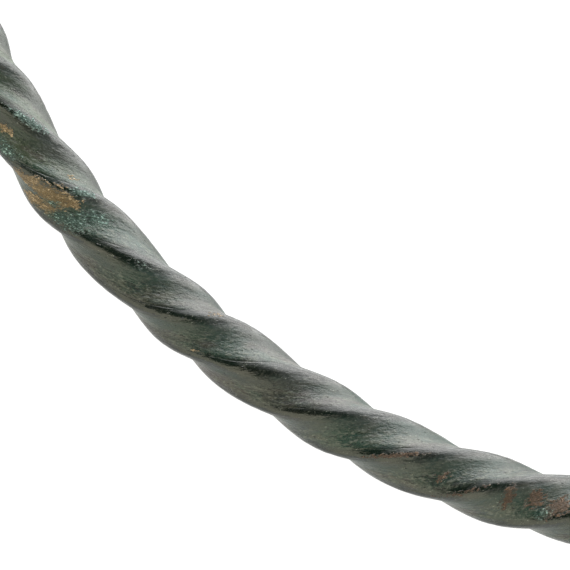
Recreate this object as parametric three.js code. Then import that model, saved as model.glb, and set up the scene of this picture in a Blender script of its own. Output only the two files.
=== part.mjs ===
// A twisted bronze torc: one cast bar with four rounded ridges, twisted left-handed along its
// length and bent into an open neck ring. Towards each end the twist runs out, the bar is worked
// round and thinner, then hammered into a flat band that is rolled outwards into an eyelet.
// Millimetres, +Z up. The torc lies flat on z = 0 with its opening towards -Y, and the origin is
// the middle of its bounding box, on the surface that it lies on.
import * as THREE from "three";
import { mergeVertices } from "three/addons/utils/BufferGeometryUtils.js";

const { PI } = Math;
const { degToRad, lerp, smoothstep, clamp } = THREE.MathUtils;

// The ring
const HOOP_RADIUS = 84; // to the middle of the bar
const END_GAP = 22; // clear width between the two eyelets
const HOOP_UNEVENNESS = [{ length: 46.7, swing: 0.11, start: degToRad(-90) }];

// The twisted bar
const RIDGE_RADIUS = 3.27; // from the bar's own axis to the crest of a ridge
const VALLEY_RADIUS = 2.65; // and to the bottom of the hollow between two ridges
const RIDGES = 4;
const PITCH = 34.54; // length of one whole turn of the twist
const TWISTED_QUARTERS = 25; // quarter turns from the middle of the back to where each side stops
const TWIST_RUN_OUT = 13; // length over which the ridges die away
const TWIST_UNEVENNESS = [ // twisting by hand leaves some turns tighter than others
  { length: 18.3, swing: degToRad(4.7), start: degToRad(13) },
  { length: 16.4, swing: degToRad(4.7), start: degToRad(235) },
  { length: 53.9, swing: degToRad(3.7), start: degToRad(39) },
];
const LYING_WEAR = 0.12; // by how much the ridges are worn down where they touch the ground

// The smooth ends, by distance back from where the eyelet's roll begins
const SHANK_RADIUS = 2.15; // the thinnest round stretch
const SHANK_AT = 12;
const BAND_THICKNESS = 1.4;
const BAND_WIDTH = 6.8;
const BAND_AT = 2;
const BAND_SQUARENESS = 8; // exponent of the band's squared-off section; 2 is an ellipse
const EYELET_RADIUS = 3.9; // to the middle of the rolled band
const EYELET_ROLL = degToRad(305); // short of a full turn, so the tip stays just off the shank

// Facets
const SIDES = 20;
const HOOP_HALF_STEPS = 106;
const EYELET_STEPS = 15;

const MEAN_RADIUS = (RIDGE_RADIUS + VALLEY_RADIUS) / 2;
const RIDGE_SHARE = (RIDGE_RADIUS - VALLEY_RADIUS) / (RIDGE_RADIUS + VALLEY_RADIUS);
const AXIS_HEIGHT = RIDGE_RADIUS - LYING_WEAR;
const EYELET_REACH = EYELET_RADIUS + BAND_THICKNESS / 2;
const OPEN_HALF_ANGLE = Math.asin((END_GAP / 2 + EYELET_REACH) / (HOOP_RADIUS + EYELET_RADIUS));
const HOOP_HALF = HOOP_RADIUS * (PI - OPEN_HALF_ANGLE); // along the bar, from the back to the roll
const EYELET_LENGTH = EYELET_RADIUS * EYELET_ROLL;
const TWIST_HALF = (TWISTED_QUARTERS * PITCH) / 4;

// What a set of slow waves along the bar adds up to at s.
function unevenness(waves, s) {
  return waves.reduce(
    (sum, { length, swing, start }) => sum + swing * Math.sin((2 * PI * s) / length + start), 0);
}

// A point of the bar's middle line, s along it from the middle of the back, and the direction
// that starts as outwards from the ring and turns with the roll of the eyelet.
function barLine(s) {
  const along = clamp(s, -HOOP_HALF, HOOP_HALF);
  const angle = PI / 2 + along / HOOP_RADIUS;
  const out = new THREE.Vector3(Math.cos(angle), Math.sin(angle), 0);
  const roll = (s - along) / EYELET_RADIUS;
  const side = out.clone().applyAxisAngle(new THREE.Vector3(0, 0, 1), -roll);
  const hoopRadius = HOOP_RADIUS + unevenness(HOOP_UNEVENNESS, along);
  const rollCentre = out.multiplyScalar(hoopRadius + EYELET_RADIUS);
  return { middle: rollCentre.addScaledVector(side, -EYELET_RADIUS), side };
}

// How much of the ridges is left at s.
function ridgesLeft(s) {
  return smoothstep(TWIST_HALF - Math.abs(s), 0, TWIST_RUN_OUT);
}

// The angle by which the ridges have turned at s. Both ends stop on a whole quarter turn.
function twistAt(s) {
  const along = clamp(s, -TWIST_HALF, TWIST_HALF);
  return (2 * PI * along) / PITCH + ridgesLeft(s) * unevenness(TWIST_UNEVENNESS, s);
}

// The bar's section at s: half its thickness and half its width, the exponent that squares it
// off, and how far its ridges swell.
function sectionAt(s) {
  const toRoll = HOOP_HALF - Math.abs(s);
  const taper = smoothstep(toRoll, SHANK_AT, HOOP_HALF - TWIST_HALF);
  const flat = 1 - smoothstep(toRoll, BAND_AT, SHANK_AT);
  const round = lerp(SHANK_RADIUS, MEAN_RADIUS, taper);
  return {
    thick: lerp(round, BAND_THICKNESS / 2, flat),
    wide: lerp(round, BAND_WIDTH / 2, flat),
    power: 2 / lerp(2, BAND_SQUARENESS, flat),
    ridges: RIDGE_SHARE * ridgesLeft(s),
  };
}

// The point of the torc's surface at s, at an angle round the bar counted from a ridge.
function surfacePoint(s, aroundFromRidge, reach) {
  const { middle, side } = barLine(s);
  const { thick, wide, power, ridges } = sectionAt(s);
  const around = aroundFromRidge + twistAt(s);
  const swell = reach * (1 + ridges * Math.cos(RIDGES * aroundFromRidge));
  const squared = (x) => Math.sign(x) * Math.abs(x) ** power;
  const point = middle.addScaledVector(side, swell * thick * squared(Math.cos(around)));
  point.z = Math.max(0, AXIS_HEIGHT + swell * wide * squared(Math.sin(around)));
  return point;
}

// How far along the bar a step lies, counted from the middle of the back. The steps are shorter
// in the eyelets.
function alongAt(step) {
  const inHoop = clamp(step, -HOOP_HALF_STEPS, HOOP_HALF_STEPS);
  const inEyelet = step - inHoop;
  return (inHoop / HOOP_HALF_STEPS) * HOOP_HALF + (inEyelet / EYELET_STEPS) * EYELET_LENGTH;
}

// A closed cylinder, one step tall for each step of the bar, bent and twisted into the torc.
function torcGeometry() {
  const steps = 2 * (HOOP_HALF_STEPS + EYELET_STEPS);
  const bar = new THREE.CylinderGeometry(1, 1, steps, SIDES, steps);
  const place = bar.getAttribute("position");
  for (let i = 0; i < place.count; i++) {
    const [x, y, z] = [place.getX(i), place.getY(i), place.getZ(i)];
    const point = surfacePoint(alongAt(-Math.round(y)), Math.atan2(x, z), Math.hypot(x, z));
    place.setXYZ(i, point.x, point.y, point.z);
  }
  bar.deleteAttribute("normal");
  bar.deleteAttribute("uv");
  const torc = mergeVertices(bar, 1e-3);
  torc.computeBoundingBox();
  const centre = torc.boundingBox.getCenter(new THREE.Vector3());
  torc.translate(-centre.x, -centre.y, 0);
  torc.computeVertexNormals();
  return torc;
}

const patinatedBronze = new THREE.MeshStandardMaterial({
  color: 0x4c5248,
  roughness: 0.38,
  metalness: 0.55,
});

const torc = new THREE.Mesh(torcGeometry(), patinatedBronze);
torc.name = "torc";

const group = new THREE.Group();
group.add(torc);

export default group;
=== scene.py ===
import bmesh
import bpy
import math
from mathutils import Matrix, Vector, noise


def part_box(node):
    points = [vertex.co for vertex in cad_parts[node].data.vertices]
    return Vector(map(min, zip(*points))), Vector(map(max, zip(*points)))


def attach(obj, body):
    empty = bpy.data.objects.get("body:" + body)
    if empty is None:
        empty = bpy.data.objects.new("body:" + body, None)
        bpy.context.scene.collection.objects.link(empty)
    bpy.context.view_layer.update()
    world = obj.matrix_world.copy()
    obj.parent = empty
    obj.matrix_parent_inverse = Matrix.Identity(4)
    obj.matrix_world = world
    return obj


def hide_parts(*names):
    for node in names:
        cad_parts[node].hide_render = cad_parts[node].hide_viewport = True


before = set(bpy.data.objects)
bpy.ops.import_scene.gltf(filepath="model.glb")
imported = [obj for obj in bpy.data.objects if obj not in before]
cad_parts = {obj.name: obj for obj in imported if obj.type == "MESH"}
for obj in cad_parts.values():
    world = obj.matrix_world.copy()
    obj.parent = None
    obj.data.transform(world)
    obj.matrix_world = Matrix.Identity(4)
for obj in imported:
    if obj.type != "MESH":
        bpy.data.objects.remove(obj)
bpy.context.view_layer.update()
mm = 0.001

# the bar and the ring, in millimetres and degrees
bar = {
    "hoopRadius": 84.0,  # to the middle of the bar
    "endGap": 22.0,
    "ridgeRadius": 3.27,
    "valleyRadius": 2.65,
    "ridges": 4,
    "pitch": 34.54,
    "twistedQuarters": 25,  # quarter turns on each side of the back
    "twistRunOut": 13.0,
    "lyingWear": 0.12,
    "shankRadius": 2.15,
    "shankAt": 12.0,  # back from where the eyelet's roll begins
    "bandThickness": 1.4,
    "bandWidth": 6.8,
    "bandAt": 2.0,
    "bandSquareness": 8.0,
    "eyeletRadius": 3.9,
    "eyeletRoll": 305.0,
    "tipRounding": 0.7,
    "tipTaper": 0.8,
    "rings": 1480,
    "sides": 64,
    "crowding": 0.5,  # how much closer the columns of faces stand along a ridge
    "capInset": 0.25,
    "weld": 0.002,
}

# slow waves along the bar: length, swing and start
twistWaves = [(18.3, 4.7, 13.0), (16.4, 4.7, 235.0), (53.9, 3.7, 39.0)]
hoopWaves = [(46.7, 0.11, -90.0)]

# relief on the skin, in millimetres, with the scales of the noise that shapes it
skin = {
    "hammer": 0.05,  # broad dents left by working the bar
    "hammerAlong": 0.16,
    "hammerAcross": 0.4,
    "grain": 0.012,
    "grainScale": 1.7,
    "grainFalloff": 1.0,
    "grainSpacing": 2.1,  # how much finer each octave is than the last
    "grainOctaves": 3,
    "squareness": 0.035,  # flattens the sides of the ridges
    "pit": 0.10,
    "pitScale": 2.3,
    "pitSparseness": 0.2,
    "pittedAt": -0.30,  # from the crest of a ridge
    "pittedWidth": 0.45,
    "crust": 0.05,
    "crustScale": 4.0,
    "crustLeast": 0.6,
    "crustSwing": 0.8,
}

# where a ridge strays from its even twist: millimetres along the bar, degrees round it, how far it
# strays in degrees, and the stretch's length and width
strays = [
    (-26.0, 90, 10.0, 5.0, 38.0),
    (-43.4, 90, 6.0, 5.0, 38.0),
    (-51.9, 90, -13.0, 5.0, 38.0),
    (-69.1, 90, -6.0, 5.0, 38.0),
    (-92.0, 150, -36.0, 6.5, 75.0),
]

# soft patches on the skin: kind, millimetres along the bar from the middle of the back, degrees
# round it (0 outwards, 90 on top, 180 inwards), length, width, strength
patches = [
    ("rust", -19.1, 92, 1.5, 1.0, 1.0),
    ("rust", -16.4, 88, 1.2, 1.0, 0.9),
    ("rust", -21.4, 94, 0.8, 1.0, 1.0),
    ("rust", -24.0, 78, 0.6, 1.1, 0.95),
    ("rust", -30.6, 76, 0.8, 0.5, 0.7),
    ("rust", -35.4, 84, 2.6, 0.22, 1.0),
    ("rust", -28.3, 63, 3.0, 0.25, 0.6),
    ("earth", -57.3, 134, 1.1, 0.4, 0.38),
    ("earth", -76.7, 125, 1.0, 0.5, 0.38),
    ("earth", -75.2, 82, 1.3, 0.8, 1.0),
    ("earth", -76.9, 64, 2.0, 1.2, 1.1),
    ("earth", -79.2, 46, 1.8, 0.9, 1.1),
    ("earth", -77.2, 26, 1.3, 0.8, 1.0),
    ("earth", -75.8, 45, 1.1, 0.8, 0.8),
    ("earth", -84.3, 64, 0.9, 0.6, 0.8),
    ("earth", -56.7, 57, 0.6, 0.2, 0.4),
    ("verdigris", -75.9, 60, 1.0, 0.5, 0.75),
    ("verdigris", -83.6, 117, 2.2, 0.5, 0.9),
    ("verdigris", -74.8, 118, 1.2, 0.5, 0.9),
    ("verdigris", -82.6, 48, 1.6, 0.8, 0.7),
    ("verdigris", -73.2, 72, 1.7, 1.3, 0.6),
    ("verdigris", -74.6, 52, 1.2, 0.6, 0.8),
    ("verdigris", -72.2, 111, 1.8, 0.9, 0.6),
    ("verdigris", -20.4, 72, 1.0, 0.6, 0.6),
    ("verdigris", -66.0, 110, 1.4, 0.7, 0.35),
]
patchReach = 2.5  # lengths from its middle where a patch has faded out

barMean = (bar["ridgeRadius"] + bar["valleyRadius"]) / 2
ridgeShare = (bar["ridgeRadius"] - bar["valleyRadius"]) / (bar["ridgeRadius"] + bar["valleyRadius"])
axisHeight = bar["ridgeRadius"] - bar["lyingWear"]
eyeletReach = bar["eyeletRadius"] + bar["bandThickness"] / 2
openHalfAngle = math.asin((bar["endGap"] / 2 + eyeletReach) / (bar["hoopRadius"] + bar["eyeletRadius"]))
hoopHalf = bar["hoopRadius"] * (math.pi - openHalfAngle)
barHalf = hoopHalf + bar["eyeletRadius"] * math.radians(bar["eyeletRoll"])
twistHalf = bar["twistedQuarters"] * bar["pitch"] / 4


def lerp(a, b, t):
    return a + (b - a) * t


def smooth(x, low, high):
    t = min(1, max(0, (x - low) / (high - low)))
    return t * t * (3 - 2 * t)


def unevenness(waves, s):
    total = 0
    for length, swing, start in waves:
        total += swing * math.sin(math.tau * s / length + math.radians(start))
    return total


# the same angle between half a turn back and half a turn on
def wrapped(angle):
    return (angle + math.pi) % math.tau - math.pi


def ridgesLeft(s):
    return smooth(twistHalf - abs(s), 0, bar["twistRunOut"])


def twistAt(s):
    along = min(twistHalf, max(-twistHalf, s))
    uneven = math.radians(unevenness(twistWaves, s))
    return math.tau * along / bar["pitch"] + ridgesLeft(s) * uneven


# everything about the bar that is the same all round it at s
def ringAt(s):
    along = min(hoopHalf, max(-hoopHalf, s))
    angle = math.pi / 2 + along / bar["hoopRadius"]
    out = Vector((math.cos(angle), math.sin(angle), 0))
    roll = (s - along) / bar["eyeletRadius"]
    side = Matrix.Rotation(-roll, 3, "Z") @ out
    hoopRadius = bar["hoopRadius"] + unevenness(hoopWaves, along)
    toRoll = hoopHalf - abs(s)
    taper = smooth(toRoll, bar["shankAt"], hoopHalf - twistHalf)
    flat = 1 - smooth(toRoll, bar["bandAt"], bar["shankAt"])
    tube = lerp(bar["shankRadius"], barMean, taper)
    tip = max(0, (abs(s) - barHalf) / bar["tipRounding"] + 1)
    return {
        "s": s,
        "middle": out * (hoopRadius + bar["eyeletRadius"]) - side * bar["eyeletRadius"],
        "side": side,
        "twist": twistAt(s),
        "thick": lerp(tube, bar["bandThickness"] / 2, flat),
        "wide": lerp(tube, bar["bandWidth"] / 2, flat),
        "power": 2 / lerp(2, bar["bandSquareness"], flat),
        "ridges": ridgesLeft(s),
        "tip": math.sqrt(1 - bar["tipTaper"] * min(1, tip) ** 2),
    }


# A patch is held as an angle from a ridge, so it keeps its place between the ridges.
def patchWeights(s, around):
    weights = {"rust": 0.0, "earth": 0.0, "verdigris": 0.0}
    for kind, at, degrees, length, width, strength in patches:
        if abs(s - at) < patchReach * length:
            off = wrapped(around - (math.radians(degrees) - twistAt(at)))
            far = ((s - at) / length) ** 2 + (off * barMean / width) ** 2
            weights[kind] = max(weights[kind], strength * math.exp(-far))
    return weights


def strayAt(s, turned):
    stray = 0
    for at, degrees, angle, length, width in strays:
        off = wrapped(turned - math.radians(degrees))
        far = ((s - at) / length) ** 2 + (off / math.radians(width)) ** 2
        stray += math.radians(angle) * math.exp(-far)
    return stray


# a sine or cosine bent towards a squared-off section
def squared(x, power):
    return math.copysign(abs(x) ** power, x)


# the relief's height over the plain section, in millimetres
def reliefAt(ring, around, place, weights):
    quarter = math.tau / bar["ridges"]
    fromRidge = ((around / quarter + 0.5) % 1 - 0.5) * quarter * barMean
    across = skin["hammerAcross"]
    dents = Vector((ring["s"] * skin["hammerAlong"], place.y * across, place.z * across))
    grainShape = (skin["grainFalloff"], skin["grainSpacing"], skin["grainOctaves"])
    height = skin["hammer"] * noise.noise(dents)
    height += skin["grain"] * noise.fractal(place * skin["grainScale"], *grainShape)
    crusted = skin["crustLeast"] + skin["crustSwing"] * noise.noise(place * skin["crustScale"])
    height += skin["crust"] * max(weights.values()) * crusted
    pitted = max(0, noise.noise(place * skin["pitScale"]) - skin["pitSparseness"])
    pitted *= math.exp(-((fromRidge - skin["pittedAt"]) / skin["pittedWidth"]) ** 2)
    flattened = skin["squareness"] * math.cos(2 * bar["ridges"] * around)
    return height + ring["ridges"] * (flattened - skin["pit"] * pitted)


# in metres along Y, as the origin is the middle of the whole torc's box
def hoopMiddle():
    hoopTop = bar["hoopRadius"] + unevenness(hoopWaves, 0) + bar["ridgeRadius"]
    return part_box("torc")[1].y - hoopTop * mm


# A straight round bar with closed ends, 2 long and 1 in radius, cut into rings of faces.
def plainBar():
    bm = bmesh.new()
    bmesh.ops.create_cone(bm, cap_ends=True, segments=bar["sides"], radius1=1, radius2=1, depth=2)
    caps = [face for face in bm.faces if len(face.verts) == bar["sides"]]
    bmesh.ops.inset_region(bm, faces=caps, thickness=bar["capInset"])
    bmesh.ops.poke(bm, faces=caps)
    staves = [edge for edge in bm.edges if abs(edge.verts[0].co.z - edge.verts[1].co.z) > 1]
    bmesh.ops.subdivide_edges(bm, edges=staves, cuts=bar["rings"] - 1)
    return bm


def torcMesh():
    bm = plainBar()
    barSpace = bm.verts.layers.float_vector.new("barSpace")
    ridge = bm.verts.layers.float_vector.new("ridge")
    patch = bm.verts.layers.float_vector.new("patch")
    rings = [ringAt(barHalf * (2 * k / bar["rings"] - 1)) for k in range(bar["rings"] + 1)]
    low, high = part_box("torc")
    shift = hoopMiddle()
    for vert in bm.verts:
        ring = rings[round((1 - vert.co.z) / 2 * bar["rings"])]
        reach = min(1, vert.co.xy.length)
        around = math.atan2(vert.co.y, vert.co.x)
        around -= bar["crowding"] * math.sin(bar["ridges"] * around) / bar["ridges"] * ring["ridges"]
        wave = math.cos(bar["ridges"] * around)
        swell = ring["tip"] * reach * (1 + ridgeShare * ring["ridges"] * wave)
        turned = around + ring["twist"]
        turned += strayAt(ring["s"], turned)
        flatwise = Vector((math.cos(around), math.sin(around))) * barMean * swell
        place = Vector((ring["s"], flatwise.x, flatwise.y))
        weights = patchWeights(ring["s"], around)
        height = reliefAt(ring, around, place, weights) * reach
        outwards = (swell * ring["thick"] + height) * squared(math.cos(turned), ring["power"])
        upwards = (swell * ring["wide"] + height) * squared(math.sin(turned), ring["power"])
        point = (ring["middle"] + ring["side"] * outwards) * mm
        point += Vector((0, shift, (axisHeight + upwards) * mm))
        vert.co = [min(high[i], max(low[i], point[i])) for i in range(3)]
        vert[barSpace] = place
        vert[ridge] = Vector((wave, math.sin(bar["ridges"] * around), ring["ridges"]))
        vert[patch] = Vector((weights["rust"], weights["earth"], weights["verdigris"]))
    bmesh.ops.remove_doubles(bm, verts=bm.verts, dist=bar["weld"] * mm)
    bmesh.ops.recalc_face_normals(bm, faces=bm.faces)
    for face in bm.faces:
        face.smooth = True
    mesh = bpy.data.meshes.new("torcSkin")
    bm.to_mesh(mesh)
    bm.free()
    return mesh


# A socket of a node tree that can be used in sums, and that adds other nodes to its tree.
class Wire:
    def __init__(self, tree, socket=None):
        self.tree = tree
        self.socket = socket

    def node(self, kind, settings, inputs, output=0):
        made = self.tree.nodes.new(kind)
        for name, value in settings.items():
            if name == "stops":
                self.setStops(made.color_ramp.elements, value)
            else:
                setattr(made, name, value)
        for name, value in inputs.items():
            if isinstance(value, Wire):
                self.tree.links.new(value.socket, made.inputs[name])
            else:
                made.inputs[name].default_value = value
        return Wire(self.tree, made.outputs[output])

    def setStops(self, ramp, stops):
        ramp.remove(ramp[1])
        for i, (at, colour) in enumerate(stops):
            stop = ramp.new(at) if i else ramp[0]
            stop.position = at
            stop.color = (*colour, 1)

    def maths(self, operation, *values):
        return self.node("ShaderNodeMath", {"operation": operation}, dict(enumerate(values)))

    def __add__(self, other):
        return self.maths("ADD", self, other)

    def __radd__(self, other):
        return self.maths("ADD", other, self)

    def __sub__(self, other):
        return self.maths("SUBTRACT", self, other)

    def __rsub__(self, other):
        return self.maths("SUBTRACT", other, self)

    def __mul__(self, other):
        return self.maths("MULTIPLY", self, other)

    def __rmul__(self, other):
        return self.maths("MULTIPLY", other, self)

    def most(self, other):
        return self.maths("MAXIMUM", self, other)

    # 0 at low and 1 at high, or falling where low is the greater
    def step(self, low, high):
        settings = {"interpolation_type": "SMOOTHSTEP"}
        return self.node("ShaderNodeMapRange", settings, {"Value": self, 1: low, 2: high})

    # 1 in the core round a middle value, fading out a width away from it
    def band(self, middle, width, core=0.35):
        return self.maths("ABSOLUTE", self - middle).step(width, width * core)

    def along(self, direction):
        return self.node("ShaderNodeVectorMath", {"operation": "DOT_PRODUCT"}, {0: self, 1: direction}, 1)

    def scaled(self, factors):
        return self.node("ShaderNodeVectorMath", {"operation": "MULTIPLY"}, {0: self, 1: factors})

    def cloud(self, scale, detail, rough):
        inputs = {"Vector": self, "Scale": scale, "Detail": detail, "Roughness": rough}
        return self.node("ShaderNodeTexNoise", {}, inputs)

    def cells(self, scale):
        return self.node("ShaderNodeTexVoronoi", {"feature": "F1"}, {"Vector": self, "Scale": scale})

    def attribute(self, name):
        return self.node("ShaderNodeAttribute", {"attribute_name": name}, {}, "Vector")

    def parts(self):
        split = self.node("ShaderNodeSeparateXYZ", {}, {0: self}).socket.node
        return [Wire(self.tree, socket) for socket in split.outputs]

    def blend(self, mask, colour):
        inputs = {0: mask, 6: self, 7: (*colour, 1)}
        return self.node("ShaderNodeMix", {"data_type": "RGBA"}, inputs, 2)


# linear colours
patina = {
    "black": (0.005, 0.008, 0.006),
    # painted shade on the outer flank of each ridge
    "paintedShadeGreen": (0.008, 0.020, 0.014),
    "mossy": (0.012, 0.042, 0.028),
    "green": (0.012, 0.030, 0.021),
    "olive": (0.036, 0.044, 0.028),
    "grey": (0.088, 0.098, 0.078),
    "wear": (0.080, 0.068, 0.056),
    # partly an olive film and partly painted shade, darkening the bar round -90 mm
    "oliveFilmAndShade": (0.034, 0.050, 0.024),
    "brown": (0.046, 0.037, 0.033),
    "rust": (0.062, 0.034, 0.017),
    "rustLight": (0.210, 0.125, 0.070),
    "earth": (0.170, 0.112, 0.045),
    "earthLight": (0.560, 0.410, 0.240),
    "crevice": (0.030, 0.024, 0.012),
    "verdigris": (0.017, 0.056, 0.040),
    "verdigrisLight": (0.290, 0.420, 0.370),
    "speck": (0.360, 0.380, 0.330),
}

# the bare skin's colours over its tone
toneStops = [(0.38, "black"), (0.46, "green"), (0.54, "olive"), (0.64, "grey")]

# how much each layer hides of what lies under it
cover = {
    # partly an olive film and partly painted shade round -90 mm along the bar
    "oliveFilmAndShade": 0.8,
    "handled": 0.5,
    "mossy": 0.65,
    "brown": 0.6,
    # black over the crests is a painted dark reflection
    "polishAndPaintedReflection": 0.85,
    "flakes": 0.8,
    "crumbs": 0.4,
    "grime": 0.85,
    "wear": 0.25,
    # painted shade on the outer flank of each ridge, thicker where the grit is
    "paintedShade": 0.2,
    "paintedShadeByGrit": 0.6,
    "rust": 0.85,
    "rustFlecks": 0.6,
    "earth": 0.85,
    "clods": 0.9,
    "earthCrevices": 0.8,
    "rustCrevices": 0.5,
    "verdigris": 0.7,
    "verdigrisFlecks": 0.9,
    "specks": 0.5,
    "pits": 0.8,
}

# clouds of noise on the skin, finer and finer: stretch along the bar, scale, detail, roughness
clouds = {
    "tinge": (0.5, 0.28, 3.0, 0.60),
    "mottle": (0.6, 0.5, 4.0, 0.60),
    "blotch": (0.6, 1.3, 4.0, 0.62),
    "grit": (0.8, 3.4, 3.0, 0.65),
    "streak": (0.3, 4.2, 3.0, 0.62),
    "dust": (0.8, 6.5, 2.0, 0.60),
}

# clouds added together, each with its share
mixes = {
    "tone": {"mottle": 0.38, "blotch": 0.4, "streak": 0.12, "grit": 0.1},
    "coarse": {"grit": 0.6, "dust": 0.4},
    "fine": {"grit": 0.4, "dust": 0.6},
    "flakes": {"streak": 0.5, "grit": 0.5},
    "wear": {"mottle": 1.0, "grit": 0.4},
    "clods": {"blotch": 0.3, "grit": 0.45, "dust": 0.25},
    "hollows": {"blotch": 0.4, "grit": 0.4, "dust": 0.2},
    "tooth": {"grit": 0.5, "streak": 0.5, "dust": 0.25},
}

# the clouds that break up each kind of patch
raggedness = {
    "rust": {"grit": 2.6},
    "earth": {"blotch": 1.98, "grit": 1.98, "dust": 0.88},
    "verdigris": {"grit": 1.8},
}

# how much less of each there is on the polished crests
offCrest = {
    "flakes": 0.8,
    "crumbs": 0.7,
    "tooth": 0.8,
}

# bands beside the crest of a ridge: middle and width in millimetres
ridgeBands = {
    # partly a real polished crest, glossier and cleaner, and partly a painted dark reflection, as black is
    # painted over it
    "polishAndPaintedReflection": (-0.02, 1.15),
    "wear": (-0.70, 0.60),
    # painted shade: the outer flank of each ridge drawn darker and greener, and also made rougher
    "paintedShade": (-1.35, 1.15),
    "crease": (0.62, 0.11),
}

# stretches of the bar: middle and half length in millimetres
stretches = {
    # partly an olive film and partly painted shade, darker round -90 mm along the bar
    "oliveFilmAndShade": (-90, 24),
    "handled": (-54, 13),
}

# where a mask starts and where it is full
edges = {
    "mossy": (0.50, 0.62),
    "brown": (0.48, 0.38),
    "flakes": (0.52, 0.60),
    "crumbs": (0.54, 0.62),
    "grime": (0.47, 0.37),
    "wear": (0.66, 0.80),
    "patch": (0.0, 0.3),
    "rust": (0.30, 0.62),
    "earth": (0.32, 0.60),
    "verdigris": (0.22, 0.72),
    "clods": (0.50, 0.60),
    "flecks": (0.50, 0.64),
    "lumps": (0.47, 0.62),
    "hollows": (0.47, 0.40),
    "specks": (0.63, 0.74),
    "speckled": (0.46, 0.60),
    "pits": (0.06, 0.17),
    "pitted": (0.42, 0.60),
    "creased": (0.44, 0.54),
}

# the roughness of a polished crest, and how much more each of the others gives
rougher = {
    "crest": 0.10,
    "grit": 0.10,
    "flakes": 0.10,
    "paintedShade": 0.12,
    "unpolished": 0.15,
    "deposit": 0.35,
}

# how much each raises or sinks the bump
raised = {
    "mottle": 1.6,
    "blotch": 1.4,
    "blotchOnCrest": 0.8,
    "lumps": 1.3,
    "clods": 1.2,
    "pits": -0.9,
    "crease": -0.25,
}

finish = {
    "ior": 1.5,
    "bumpStrength": 0.7,
    "bumpHeight": 0.15 * mm,
    "pitScale": 1.9,
    "pitStretch": 0.6,
}


def mixed(fields, shares):
    total = 0
    for name, share in shares.items():
        total = fields[name] * share + total
    return total


# What the layers are drawn from: the clouds, the bands and a few mixes of them.
def skinFields(tree):
    space = Wire(tree).attribute("barSpace")
    ridge, flank, left = Wire(tree).attribute("ridge").parts()
    fromRidge = ridge.maths("ARCTAN2", flank, ridge) * (barMean / bar["ridges"])
    alongBar = space.parts()[0]
    fields = {name: space.scaled((stretch, 1, 1)).cloud(scale, detail, rough)
              for name, (stretch, scale, detail, rough) in clouds.items()}
    for name, (middle, width) in ridgeBands.items():
        fields[name] = fromRidge.band(middle, width) * left
    for name, (middle, width) in stretches.items():
        fields[name] = alongBar.band(middle, width)
    fields["coarse"] = mixed(fields, mixes["coarse"])
    fields["fine"] = mixed(fields, mixes["fine"])
    fromPit = space.scaled((finish["pitStretch"], 1, 1)).cells(finish["pitScale"])
    fields["pits"] = (1 - fromPit.step(*edges["pits"])) * fields["blotch"].step(*edges["pitted"])
    flakes = mixed(fields, mixes["flakes"]).step(*edges["flakes"])
    fields["flakes"] = flakes * (1 - fields["polishAndPaintedReflection"] * offCrest["flakes"])
    return fields


# The bronze's skin: greens and greys, with black over the polished crests as a painted dark reflection,
# deep green over the outer flank of each ridge as painted shade, and a darker olive film round -90 mm
# along the bar that is partly painted shade.
def bareColour(fields):
    tone = mixed(fields, mixes["tone"])
    stops = [(at, patina[name]) for at, name in toneStops]
    colour = tone.node("ShaderNodeValToRGB", {"stops": stops}, {"Fac": tone})
    # partly an olive film and partly painted shade: darker and more olive round -90 mm along the bar
    colour = colour.blend(fields["oliveFilmAndShade"] * cover["oliveFilmAndShade"], patina["oliveFilmAndShade"])
    colour = colour.blend(fields["handled"] * cover["handled"], patina["brown"])
    colour = colour.blend(fields["tinge"].step(*edges["mossy"]) * cover["mossy"], patina["mossy"])
    colour = colour.blend(fields["tinge"].step(*edges["brown"]) * cover["brown"], patina["brown"])
    # painted dark reflection: black over the crests
    colour = colour.blend(fields["polishAndPaintedReflection"] * cover["polishAndPaintedReflection"], patina["black"])
    colour = colour.blend(fields["flakes"] * cover["flakes"], patina["grey"])
    crumbs = fields["fine"].step(*edges["crumbs"]) * (1 - fields["polishAndPaintedReflection"] * offCrest["crumbs"])
    colour = colour.blend(crumbs * cover["crumbs"], patina["grey"])
    grime = fields["coarse"].step(*edges["grime"])
    colour = colour.blend(grime * cover["grime"], patina["black"])
    wear = fields["wear"] * mixed(fields, mixes["wear"]).step(*edges["wear"])
    colour = colour.blend(wear * cover["wear"], patina["wear"])
    # painted shade: deep green over the outer flank of each ridge
    paintedShadeCover = cover["paintedShade"] + fields["grit"] * cover["paintedShadeByGrit"]
    return colour.blend(fields["paintedShade"] * paintedShadeCover, patina["paintedShadeGreen"])


# Masks of what has settled on the bronze, each patch broken up by the clouds.
def depositMasks(fields, patchParts):
    masks = {}
    for patch, (name, shares) in zip(patchParts, raggedness.items()):
        ragged = mixed(fields, shares) - sum(shares.values()) / 2
        masks[name] = (patch + ragged * patch.step(*edges["patch"])).step(*edges[name])
    masks["clods"] = masks["earth"] * mixed(fields, mixes["clods"]).step(*edges["clods"])
    masks["hollows"] = mixed(fields, mixes["hollows"]).step(*edges["hollows"])
    masks["flecks"] = fields["fine"].step(*edges["flecks"])
    return masks


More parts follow.
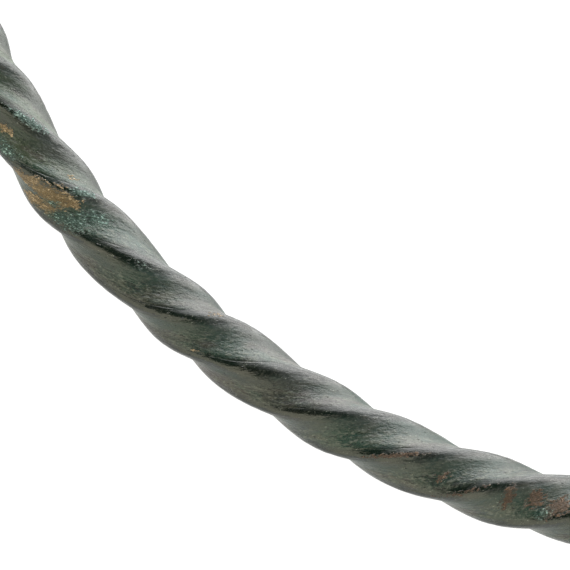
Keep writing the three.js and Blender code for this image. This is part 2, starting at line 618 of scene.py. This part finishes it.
def withDeposits(colour, fields, masks):
    rust, earth, verdigris = (masks[name] for name in ("rust", "earth", "verdigris"))
    colour = colour.blend(rust * cover["rust"], patina["rust"])
    colour = colour.blend(rust * masks["flecks"] * cover["rustFlecks"], patina["rustLight"])
    colour = colour.blend(earth * cover["earth"], patina["earth"])
    colour = colour.blend(masks["clods"] * cover["clods"], patina["earthLight"])
    crevices = (earth * cover["earthCrevices"] + rust * cover["rustCrevices"]) * masks["hollows"]
    colour = colour.blend(crevices, patina["crevice"])
    colour = colour.blend(verdigris * cover["verdigris"], patina["verdigris"])
    colour = colour.blend(verdigris * masks["flecks"] * cover["verdigrisFlecks"], patina["verdigrisLight"])
    specks = fields["dust"].step(*edges["specks"]) * fields["blotch"].step(*edges["speckled"])
    colour = colour.blend(specks * cover["specks"], patina["speck"])
    return colour.blend(fields["pits"] * cover["pits"], patina["black"])


def skinRoughness(fields, deposit):
    rough = deposit * rougher["deposit"] + (1 - fields["polishAndPaintedReflection"]) * rougher["unpolished"]
    for name in ("grit", "flakes", "paintedShade"):
        rough += fields[name] * rougher[name]
    return rough + rougher["crest"]


def skinHeight(fields, masks, deposit):
    polishAndPaintedReflection = fields["polishAndPaintedReflection"]
    onCrest = raised["blotchOnCrest"] - raised["blotch"]
    broad = fields["mottle"] * raised["mottle"] + fields["blotch"] * (raised["blotch"] + polishAndPaintedReflection * onCrest)
    lumps = deposit * fields["coarse"].step(*edges["lumps"])
    creases = fields["crease"] * fields["mottle"].step(*edges["creased"])
    height = broad + mixed(fields, mixes["tooth"]) * (1 - polishAndPaintedReflection * offCrest["tooth"])
    height += lumps * raised["lumps"] + masks["clods"] * raised["clods"]
    return height + fields["pits"] * raised["pits"] + creases * raised["crease"]


def patinaMaterial():
    material = bpy.data.materials.new("patinatedBronze")
    material.use_nodes = True
    tree = material.node_tree
    fields = skinFields(tree)
    masks = depositMasks(fields, Wire(tree).attribute("patch").parts())
    deposit = masks["rust"].most(masks["earth"]).most(masks["verdigris"])
    colour = withDeposits(bareColour(fields), fields, masks)
    rough = skinRoughness(fields, deposit)
    height = skinHeight(fields, masks, deposit)
    bump = {"Strength": finish["bumpStrength"], "Distance": finish["bumpHeight"], "Height": height}
    normal = height.node("ShaderNodeBump", {}, bump)
    shader = tree.nodes["Principled BSDF"]
    shader.inputs["IOR"].default_value = finish["ior"]
    tree.links.new(colour.socket, shader.inputs["Base Color"])
    tree.links.new(rough.socket, shader.inputs["Roughness"])
    tree.links.new(normal.socket, shader.inputs["Normal"])
    return material


def addTorc():
    piece = bpy.data.objects.new("twistedTorc", torcMesh())
    bpy.context.scene.collection.objects.link(piece)
    piece.data.materials.append(patinaMaterial())
    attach(piece, "root")
    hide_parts("torc")


# The studio: white paper that glows evenly, a lit sheet inside the ring, two softboxes, and a tent
# that is brighter towards the key light and has a dark hole overhead.
studio = {
    "floorSize": 6.0,
    "floorGlow": 0.93,
    "paperColour": (0.25, 0.25, 0.245),
    "paperRoughness": 0.9,
    "padRadius": 76.8 * mm,
    "padHeight": 0.02 * mm,
    "padSegments": 96,
    "padGlow": 4.25,
    "boxesFar": 0.7,
    "tent": 0.76,
    "tentByKey": 6.6,
    "tentBrightens": (0.45, 1.2),
    "holeTowards": (0.12, 0.12, 0.985),
    "holeEdge": (0.95, 0.77),
}

softboxes = {
    "key": {
        "radiance": 4.0,
        "colour": (1.0, 0.93, 0.90),
        "towards": (-0.515, -0.857),
        "rise": 4.5,
        "size": (1.2, 0.12),
    },
    "fill": {
        "radiance": 1.4,
        "colour": (1.0, 0.96, 0.64),
        "towards": (0.5, 0.866),
        "rise": 26.0,
        "size": (1.2, 0.6),
    },
}


# Turns a flat bmesh into a sheet of matt paper that glows.
def paperSheet(name, bm, glow):
    mesh = bpy.data.meshes.new(name)
    bm.to_mesh(mesh)
    bm.free()
    sheet = bpy.data.objects.new(name, mesh)
    bpy.context.scene.collection.objects.link(sheet)
    material = bpy.data.materials.new(name + "Paper")
    material.use_nodes = True
    shader = material.node_tree.nodes["Principled BSDF"]
    shader.inputs["Base Color"].default_value = (*studio["paperColour"], 1)
    shader.inputs["Roughness"].default_value = studio["paperRoughness"]
    shader.inputs["Emission Color"].default_value = (1, 1, 1, 1)
    shader.inputs["Emission Strength"].default_value = glow
    mesh.materials.append(material)
    return sheet


def addFloor():
    bm = bmesh.new()
    bmesh.ops.create_grid(bm, x_segments=1, y_segments=1, size=studio["floorSize"] / 2)
    floor = paperSheet("floor", bm, studio["floorGlow"])


def addLightPad():
    bm = bmesh.new()
    place = Matrix.Translation((0, hoopMiddle(), studio["padHeight"]))
    bmesh.ops.create_circle(bm, cap_ends=True, segments=studio["padSegments"], radius=studio["padRadius"],
                            matrix=place)
    pad = paperSheet("lightPad", bm, studio["padGlow"])


def addSoftbox(name):
    made = softboxes[name]
    width, depth = made["size"]
    light = bpy.data.lights.new(name + "Softbox", "AREA")
    light.shape = "RECTANGLE"
    light.size = width
    light.size_y = depth
    light.energy = made["radiance"] * math.pi * width * depth
    light.color = made["colour"]
    box = bpy.data.objects.new(name + "Softbox", light)
    rise = math.radians(made["rise"])
    level = Vector((*made["towards"], 0)) * math.cos(rise)
    back = level + Vector((0, 0, math.sin(rise)))
    box.location = back * studio["boxesFar"]
    box.rotation_euler = back.to_track_quat("Z", "Y").to_euler()
    box.visible_camera = False
    bpy.context.scene.collection.objects.link(box)


def setWorld():
    world = bpy.data.worlds.new("studio")
    world.use_nodes = True
    tree = world.node_tree
    sight = Wire(tree).node("ShaderNodeTexCoord", {}, {}, "Generated")
    keySide = (*softboxes["key"]["towards"], 0)
    tent = sight.along(keySide).step(*studio["tentBrightens"]) * studio["tentByKey"] + studio["tent"]
    glow = tent * sight.along(studio["holeTowards"]).step(*studio["holeEdge"])
    tree.links.new(glow.socket, tree.nodes["Background"].inputs["Color"])
    bpy.context.scene.world = world


# A long lens straight above the ring, turned half round, so that +X is left and +Y is down.
view = {
    "lens": 250.0,
    "sensor": 36.0,
    "width": 54.69 * mm,  # of what is seen, at the height of the bar's axis
    "alongX": 45.02 * mm,  # from the middle of the ring
    "alongY": 60.71 * mm,
}


def addCamera():
    camera = bpy.data.cameras.new("camera")
    camera.sensor_width = view["sensor"]
    camera.lens = view["lens"]
    eye = bpy.data.objects.new("camera", camera)
    distance = view["width"] * view["lens"] / view["sensor"]
    eye.location = (view["alongX"], hoopMiddle() + view["alongY"], axisHeight * mm + distance)
    eye.rotation_euler = (0, 0, math.pi)
    bpy.context.scene.collection.objects.link(eye)
    bpy.context.scene.camera = eye


addCamera()
print("camera placed")
addTorc()
print("torc made")
addFloor()
addLightPad()
for name in softboxes:
    addSoftbox(name)
setWorld()
bpy.context.scene.view_settings.view_transform = "Standard"
print("studio lit")
